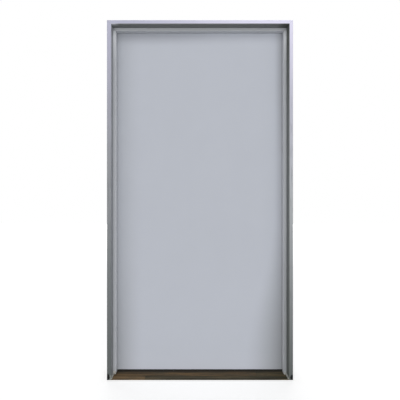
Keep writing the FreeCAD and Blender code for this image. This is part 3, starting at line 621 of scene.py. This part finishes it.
# Plates of hot-rolled steel back the hinges inside the left jamb. They keep their mill scale, gone
# brown in places, and are stitched to the rabbet wall with short runs of weld.
raw_plate, plate_tree, plate_shader, plate_place = new_material("mill plate", roughness=0.6, metallic=0.5)
plate_noise = noise(plate_tree, plate_place, 26.0, 8.0, 0.75)
plate_tree.links.new(colour_scale(plate_tree, plate_noise, [
    (0.35, (0.07, 0.072, 0.078, 1)), (0.55, (0.13, 0.125, 0.12, 1)), (0.75, (0.22, 0.12, 0.07, 1))]),
                     plate_shader.inputs["Base Color"])
plate_edge = add_group(plate_tree, edge_wear, Place=plate_place, Width=0.0010)
relief(plate_tree, plate_shader, plate_noise, 0.4, 0.0004, plate_edge["Rounded"])
stitch_length = 0.026
stitch_inset = 0.0010
stitch_shares = (0.15, 0.5, 0.85)
for level in ("bottom", "middle", "top"):
    backing = level + "_hinge_backing_plate"
    dress(raw_plate, backing)
    low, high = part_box(backing)
    stitches = bmesh.new()
    for edge, outward in ((low.y, -1), (high.y, 1)):
        for share in stitch_shares:
            stitch = Vector((high.x - stitch_inset, edge + outward * stitch_inset,
                             low.z + share * (high.z - low.z)))
            half_run = Vector((0, 0, stitch_length / 2))
            lay_weld(stitches, stitch - half_run, stitch + half_run)
    finish_piece(backing + "_stitches", stitches, "frame", "galvanised_steel", weld_metal)

# The gaskets are extruded black rubber strips, pushed on to the rear of the stop. The leaf shuts
# against them.
rubber, rubber_tree, rubber_shader, rubber_place = new_material("gasket rubber", roughness=0.62)
rubber_noise = noise(rubber_tree, rubber_place, 45.0, 5.0)
rubber_tree.links.new(colour_scale(rubber_tree, rubber_noise, [
    (0.35, (0.012, 0.012, 0.013, 1)), (0.70, (0.035, 0.035, 0.034, 1))]), rubber_shader.inputs["Base Color"])
relief(rubber_tree, rubber_shader, rubber_noise, 0.3, 0.0002)
dress(rubber, "left_gasket", "right_gasket", "head_gasket")

# The threshold is two rows of dark hardwood boards, cut round the feet of the stops. They are oiled, worn and
# soiled, and a painted shadow makes them blackest under and just before the leaf.
board_grain, grain_in, grain_out = new_group(
    "board grain",
    [("Place", "NodeSocketVector", (0, 0, 0)), ("Shift", "NodeSocketVector", (0, 0, 0))],
    [("Streak", "NodeSocketFloat"), ("Pore", "NodeSocketFloat"), ("Patch", "NodeSocketFloat")])
grain_place = add_node(board_grain, "VectorMath", {0: grain_in["Place"], 1: grain_in["Shift"]},
                       operation="ADD").outputs[0]
grain_streak = noise(board_grain, stretch(board_grain, grain_place, (3.2, 95.0, 95.0)), 1.0, 5.0, 0.6, 0.8)
grain_pore = noise(board_grain, stretch(board_grain, grain_place, (30.0, 900.0, 900.0)), 1.0, 3.0, 0.6)
grain_patch = noise(board_grain, stretch(board_grain, grain_place, (7.0, 30.0, 30.0)), 1.0, 3.0)
board_grain.links.new(grain_streak, grain_out["Streak"])
board_grain.links.new(grain_pore, grain_out["Pore"])
board_grain.links.new(grain_patch, grain_out["Patch"])

leaf_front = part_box("leaf_front_skin")[0].y
board_dust_colour = (0.058, 0.053, 0.034, 1)
board_pore_colour = (0.015, 0.012, 0.009, 1)
under_leaf_shadow_colour = (0.010, 0.009, 0.007, 1)
for board, shift, dark, middle_tone, light in (
    ("threshold_front_left_board", (3.1, 0.4, 0), (0.072, 0.048, 0.025), (0.150, 0.100, 0.049),
     (0.205, 0.134, 0.064)),
    ("threshold_front_right_board", (9.7, 2.3, 0), (0.028, 0.025, 0.014), (0.053, 0.046, 0.026),
     (0.103, 0.080, 0.043)),
    ("threshold_back_left_board", (14.2, 5.1, 0), (0.058, 0.040, 0.020), (0.112, 0.074, 0.036),
     (0.162, 0.101, 0.044)),
    ("threshold_back_right_board", (21.9, 7.6, 0), (0.054, 0.043, 0.022), (0.094, 0.072, 0.037),
     (0.140, 0.101, 0.048)),
):
    timber, wood_tree, wood_shader, wood_place = new_material(board + " timber", roughness=0.5, gloss=0.15)
    wood_y = axes(wood_tree, wood_place)["Y"]
    grain = add_group(wood_tree, board_grain, Place=wood_place, Shift=shift)
    wood_colour = colour_scale(wood_tree, grain["Streak"], [
        (0.37, (*dark, 1)), (0.50, (*middle_tone, 1)), (0.63, (*light, 1))])
    wood_colour = blend_colour(wood_tree, rise(wood_tree, grain["Patch"], 0.42, 0.62, 0.0, 0.5), wood_colour,
                               board_dust_colour)
    wood_colour = blend_colour(wood_tree, rise(wood_tree, grain["Pore"], 0.46, 0.34, 0.0, 0.6), wood_colour,
                               board_pore_colour)
    # Painted shadow on the boards under and just before the leaf.
    under_leaf_shadow = rise(wood_tree, wood_y, leaf_front - 0.032, leaf_front - 0.008, 0.0, 0.88)
    wood_tree.links.new(blend_colour(wood_tree, under_leaf_shadow, wood_colour, under_leaf_shadow_colour),
                        wood_shader.inputs["Base Color"])
    wood_tree.links.new(between(wood_tree, grain["Pore"], 0.38, 0.73), wood_shader.inputs["Roughness"])
    wood_height = calculate(wood_tree, "MULTIPLY_ADD", grain["Pore"], 0.5, grain["Streak"])
    relief(wood_tree, wood_shader, wood_height, 0.6, 0.0006)
    dress(timber, board)

# A bead of pale grey sealant closes the joint between the boards and each jamb's front rabbet. It
# was smoothed with a finger, so it is hollow, rounds the corner and ends ragged at the front.
sealant, seal_tree, seal_shader, seal_place = new_material("sealant", roughness=0.55)
seal_noise = noise(seal_tree, seal_place, 120.0, 5.0, 0.65)
seal_tree.links.new(colour_scale(seal_tree, seal_noise, [
    (0.30, (0.20, 0.20, 0.18, 1)), (0.50, (0.33, 0.33, 0.305, 1)), (0.70, (0.42, 0.42, 0.40, 1))]),
                    seal_shader.inputs["Base Color"])
relief(seal_tree, seal_shader, seal_noise, 0.5, 0.0005)
board_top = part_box("threshold_front_left_board")[1].z
bead_steps = 56
bead_rows = 8
bead_waves = 4
bead_reach = 0.0072
bead_climb = 0.0075
bead_sink = 0.0004
bead_skin = 0.0012
bead_overrun = 0.0006
bead_hollow = 1.7
bead_corner_fill = 0.004
bead_turn_before = 0.012
bead_turn_run = 0.020
bead_end_share = 0.35
bead_end_run = 0.012
full_turn = 6.28
by_hand = random.Random(4)
for side_name, side in (("left", -1), ("right", 1)):
    front_end = Vector((rabbet_side, front_plane - bead_overrun, 0))
    corner = Vector((rabbet_side, -stop_reach, 0))
    stop_end = Vector((stop_side, -stop_reach, 0))
    wall_run = (corner - front_end).length
    stop_run = (stop_end - corner).length
    waves = [(by_hand.uniform(0.0001, 0.0003), by_hand.uniform(1, 6), by_hand.uniform(0, 6))
             for count in range(bead_waves)]
    bead = bmesh.new()
    bmesh.ops.create_grid(bead, x_segments=bead_steps, y_segments=bead_rows, size=0.5)
    for vert in bead.verts:
        along = vert.co.x + 0.5
        outward = vert.co.y + 0.5
        travelled = along * (wall_run + stop_run)
        if travelled < wall_run:
            root = front_end.lerp(corner, travelled / wall_run)
        else:
            root = corner.lerp(stop_end, (travelled - wall_run) / stop_run)
        turned = min(1.0, max(0.0, (travelled - wall_run + bead_turn_before) / bead_turn_run))
        turned = turned * turned * (3 - 2 * turned)
        away = Vector((-1, 0, 0)).lerp(Vector((0, -1, 0)), turned)
        wave = sum(size * math.sin(rate * full_turn * along + start) for size, rate, start in waves)
        thinned = min(1.0, bead_end_share + travelled / bead_end_run)
        reach = (bead_reach + wave + bead_corner_fill * math.sin(math.pi * turned)) * outward * thinned
        hollow = (1 - outward) ** bead_hollow
        climb = (bead_climb + wave) * hollow * thinned - bead_sink * (1 - hollow)
        vert.co = Vector((side * (root.x + away.x * reach + bead_sink * (1 - outward)),
                          root.y + away.y * reach + bead_sink * (1 - outward) * turned,
                          board_top + climb))
    tooled = finish_piece(side_name + "_tooled_sealant", bead, "frame", "sealant", sealant)
    thicken = tooled.modifiers.new("thickness", "SOLIDIFY")
    thicken.thickness = bead_skin
    thicken.offset = -1
    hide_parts(side_name + "_sealant_bead")

# The leaf is two folded skins of 1.2 mm steel, seamed along the middle of its edges over a glued
# honeycomb, with a channel let into its top and its foot. It is painted in a smooth satin blue-grey.
leaf_colour = (0.470, 0.493, 0.547)
# Painted shade: the colour of the leaf's shaded edges.
leaf_shade_colour = (0.200, 0.206, 0.208, 1)
leaf_paint, leaf_tree, leaf_shader, leaf_place = new_material("leaf paint", roughness=0.5, gloss=0.15)
leaf_x, leaf_y, leaf_z = axes(leaf_tree, leaf_place)
leaf_coat = add_group(leaf_tree, spray_coat, Place=leaf_place, Unevenness=0.012)
on_front = rise(leaf_tree, leaf_y, leaf_front + 0.004, leaf_front + 0.001)
# Painted light makes the leaf lighter towards its foot. Under the frame's head, painted shade darkens the
# hinge side and painted light lightens the lock side.
leaf_foot_light = calculate(leaf_tree, "ADD", rise(leaf_tree, leaf_z, 1.15, 0.05, 1.0, 1.075),
                      rise(leaf_tree, leaf_z, 0.16, 0.01, 0.0, 0.045))
under_frame_head = product(leaf_tree, on_front, rise(leaf_tree, leaf_z, 2.02, 2.12))
head_light_and_shade = calculate(leaf_tree, "MULTIPLY_ADD", under_frame_head,
                      rise(leaf_tree, leaf_x, -0.35, 0.28, -0.06, 0.15), 1.0)
leaf_tone = scale_colour(leaf_tree, leaf_colour, product(leaf_tree, leaf_coat["Tone"], leaf_foot_light, head_light_and_shade))

# Painted shade lies along the leaf's front edges beside the jambs, widest at the foot on the lock side.
hinge_reach = 0.17
foot_share = rise(leaf_tree, leaf_z, 1.00, 0.05)
head_share = rise(leaf_tree, leaf_z, 1.20, 1.80)
lock_reach = between(leaf_tree, foot_share, 0.055, 0.250)
from_lock = calculate(leaf_tree, "DIVIDE", calculate(leaf_tree, "SUBTRACT", stop_side, leaf_x), lock_reach)
lock_depth = calculate(leaf_tree, "MULTIPLY_ADD", foot_share, 0.50,
                       between(leaf_tree, head_share, 0.26, 0.48))
lock_side_shade = product(leaf_tree, rise(leaf_tree, from_lock, 1.0, -0.2), lock_depth)
from_hinge = calculate(leaf_tree, "DIVIDE", calculate(leaf_tree, "ADD", leaf_x, stop_side), hinge_reach)
hinge_depth = between(leaf_tree, foot_share, 0.29, 0.57)
hinge_side_shade = product(leaf_tree, rise(leaf_tree, from_hinge, 1.0, -0.2), hinge_depth)
leaf_edge_shade = product(leaf_tree, calculate(leaf_tree, "MAXIMUM", lock_side_shade, hinge_side_shade), on_front)
leaf_tone = blend_colour(leaf_tree, leaf_edge_shade, leaf_tone, leaf_shade_colour)
leaf_wear = add_group(leaf_tree, edge_wear, Place=leaf_place, Width=0.0018, Patchiness=0.60)
leaf_tree.links.new(blend_colour(leaf_tree, product(leaf_tree, leaf_wear["Mask"], 0.5), leaf_tone,
                                 bare_steel_colour), leaf_shader.inputs["Base Color"])

# Wiping has left faint slanted marks in its gloss.
wipe_slant = 0.5
wipe_place = stretch(leaf_tree, leaf_place, (9.0, 9.0, 2.2), (0, wipe_slant, 0))
wipe_marks = rise(leaf_tree, noise(leaf_tree, wipe_place, 1.0, 5.0, 0.6, 0.6), 0.40, 0.65, -0.05, 0.07)
leaf_dull = calculate(leaf_tree, "MULTIPLY_ADD", leaf_coat["Dulling"], 0.14,
                      between(leaf_tree, leaf_edge_shade, 0.42, 0.72))
leaf_tree.links.new(calculate(leaf_tree, "ADD", wipe_marks, leaf_dull), leaf_shader.inputs["Roughness"])
relief(leaf_tree, leaf_shader, leaf_coat["Peel"], 0.35, 0.0002, leaf_wear["Rounded"])
dress(leaf_paint, "leaf_front_skin", "leaf_rear_skin", "leaf_top_channel")
dress(galvanised, "leaf_foot_channel")

# The leaf's core is a honeycomb of brown kraft paper, glued to both skins. The CAD has it as one
# block, so its cells are a pattern.
kraft, kraft_tree, kraft_shader, kraft_place = new_material("kraft honeycomb", roughness=0.85)
kraft_cells = add_node(kraft_tree, "TexVoronoi", {"Vector": kraft_place, "Scale": 55.0},
                       feature="DISTANCE_TO_EDGE")
kraft_tree.links.new(colour_scale(kraft_tree, kraft_cells.outputs["Distance"], [
    (0.0, (0.50, 0.37, 0.22, 1)), (0.12, (0.30, 0.21, 0.12, 1))]), kraft_shader.inputs["Base Color"])
dress(kraft, "leaf_core")

# Three plain butt hinges hang the leaf. Their plates, knuckles and loose pins are satin steel, and
# eight countersunk screws with a crossed slot hold each, four in the jamb and four in the leaf.
hinge_colour = (0.330, 0.326, 0.315, 1)
hinge_stain_colour = (0.150, 0.135, 0.115, 1)
hinge_steel, hinge_tree, hinge_shader, hinge_place = new_material("hinge steel", roughness=0.34, metallic=0.9)
hinge_brush = noise(hinge_tree, stretch(hinge_tree, hinge_place, (900.0, 900.0, 14.0)), 1.0, 3.0)
hinge_stain = rise(hinge_tree, noise(hinge_tree, hinge_place, 30.0, 7.0, 0.7), 0.50, 0.72, 0.0, 0.7)
hinge_tree.links.new(blend_colour(hinge_tree, hinge_stain, hinge_colour, hinge_stain_colour),
                     hinge_shader.inputs["Base Color"])
hinge_tree.links.new(between(hinge_tree, hinge_brush, 0.24, 0.49), hinge_shader.inputs["Roughness"])
hinge_edge = add_group(hinge_tree, edge_wear, Place=hinge_place, Width=0.0007)
relief(hinge_tree, hinge_shader, hinge_brush, 0.2, 0.0001, hinge_edge["Rounded"])
# The screw slots are near black: dirt and painted shade in the recess.
slot_dirt_and_shade, dirt_tree, dirt_shader, dirt_place = new_material("slot dirt and shade", roughness=0.8)
dirt_tree.links.new(colour_scale(dirt_tree, noise(dirt_tree, dirt_place, 300.0, 3.0), [
    (0.3, (0.010, 0.009, 0.008, 1)), (0.7, (0.045, 0.038, 0.030, 1))]), dirt_shader.inputs["Base Color"])

plate_thickness = 0.0022
screw_radius = 0.0046
screw_flare = 1.05
screw_proud = 0.00026
screw_rim = 0.00012
screw_shares = (0.13, 0.37, 0.63, 0.87)
near_row = 0.010
far_row = 0.026
slot_width = 0.0011
slot_length = 0.0052
slot_depth = 0.00022


def drive_screw(shape, centre, facing):
    """A countersunk screw head with a crossed slot, its face turned to the left or the right. The cross
    is cut out of a flat disc and sunk, and a skirt closes the head down to the plate."""
    head = bmesh.new()
    bmesh.ops.create_circle(head, cap_ends=True, segments=20, radius=screw_radius)
    for axis in (Vector((1, 0, 0)), Vector((0, 1, 0))):
        for place in (-slot_length / 2, -slot_width / 2, slot_width / 2, slot_length / 2):
            bmesh.ops.bisect_plane(head, geom=head.verts[:] + head.edges[:] + head.faces[:], dist=1e-7,
                                   plane_co=axis * place, plane_no=axis)
    crossed = []
    for face in head.faces:
        middle = face.calc_center_median()
        across, along = sorted((abs(middle.x), abs(middle.y)))
        if across < slot_width / 2 and along < slot_length / 2:
            crossed.append(face)
    sunk = bmesh.ops.extrude_face_region(head, geom=crossed)["geom"]
    bmesh.ops.delete(head, geom=crossed, context="FACES_ONLY")
    bmesh.ops.translate(head, vec=(0, 0, -slot_depth), verts=[
        item for item in sunk if isinstance(item, bmesh.types.BMVert)])
    for item in sunk:
        if isinstance(item, bmesh.types.BMFace):
            item.material_index = 1
    rim = [edge for edge in head.edges if edge.is_boundary]
    skirt = bmesh.ops.extrude_edge_only(head, edges=rim)["geom"]
    lowered = [item for item in skirt if isinstance(item, bmesh.types.BMVert)]
    bmesh.ops.translate(head, vec=(0, 0, -screw_proud - screw_rim), verts=lowered)
    bmesh.ops.scale(head, vec=(screw_flare, screw_flare, 1), verts=lowered)
    bmesh.ops.holes_fill(head, edges=[
        item for item in skirt if isinstance(item, bmesh.types.BMEdge) and item.is_boundary])
    turned = Matrix.Rotation(math.radians(90 * facing), 4, "Y")
    spun = Matrix.Rotation(by_hand.uniform(0, 1.5), 4, "Z")
    bmesh.ops.transform(head, matrix=Matrix.Translation(centre) @ turned @ spun, verts=head.verts)
    join_shape(shape, head)


leaf_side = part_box("leaf_front_skin")[0].x
for level in ("bottom", "middle", "top"):
    dress(hinge_steel, *("%s_hinge_%s" % (level, part) for part in ("frame_plate", "leaf_plate", "pin")))
    for part, body, facing, seat in (("frame", "frame", 1, -rabbet_side), ("leaf", "leaf", -1, leaf_side)):
        low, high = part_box("%s_hinge_%s_plate" % (level, part))
        screws = bmesh.new()
        for count, share in enumerate(screw_shares):
            on_near_row = (count + (facing == 1)) % 2
            place = Vector((seat + facing * (plate_thickness + screw_proud),
                            low.y + (near_row if on_near_row else far_row),
                            low.z + share * (high.z - low.z)))
            drive_screw(screws, place, facing)
        finish_piece("%s_hinge_%s_screws" % (level, part), screws, body, "hinge_steel", hinge_steel,
                     slot_dirt_and_shade, smooth=False)
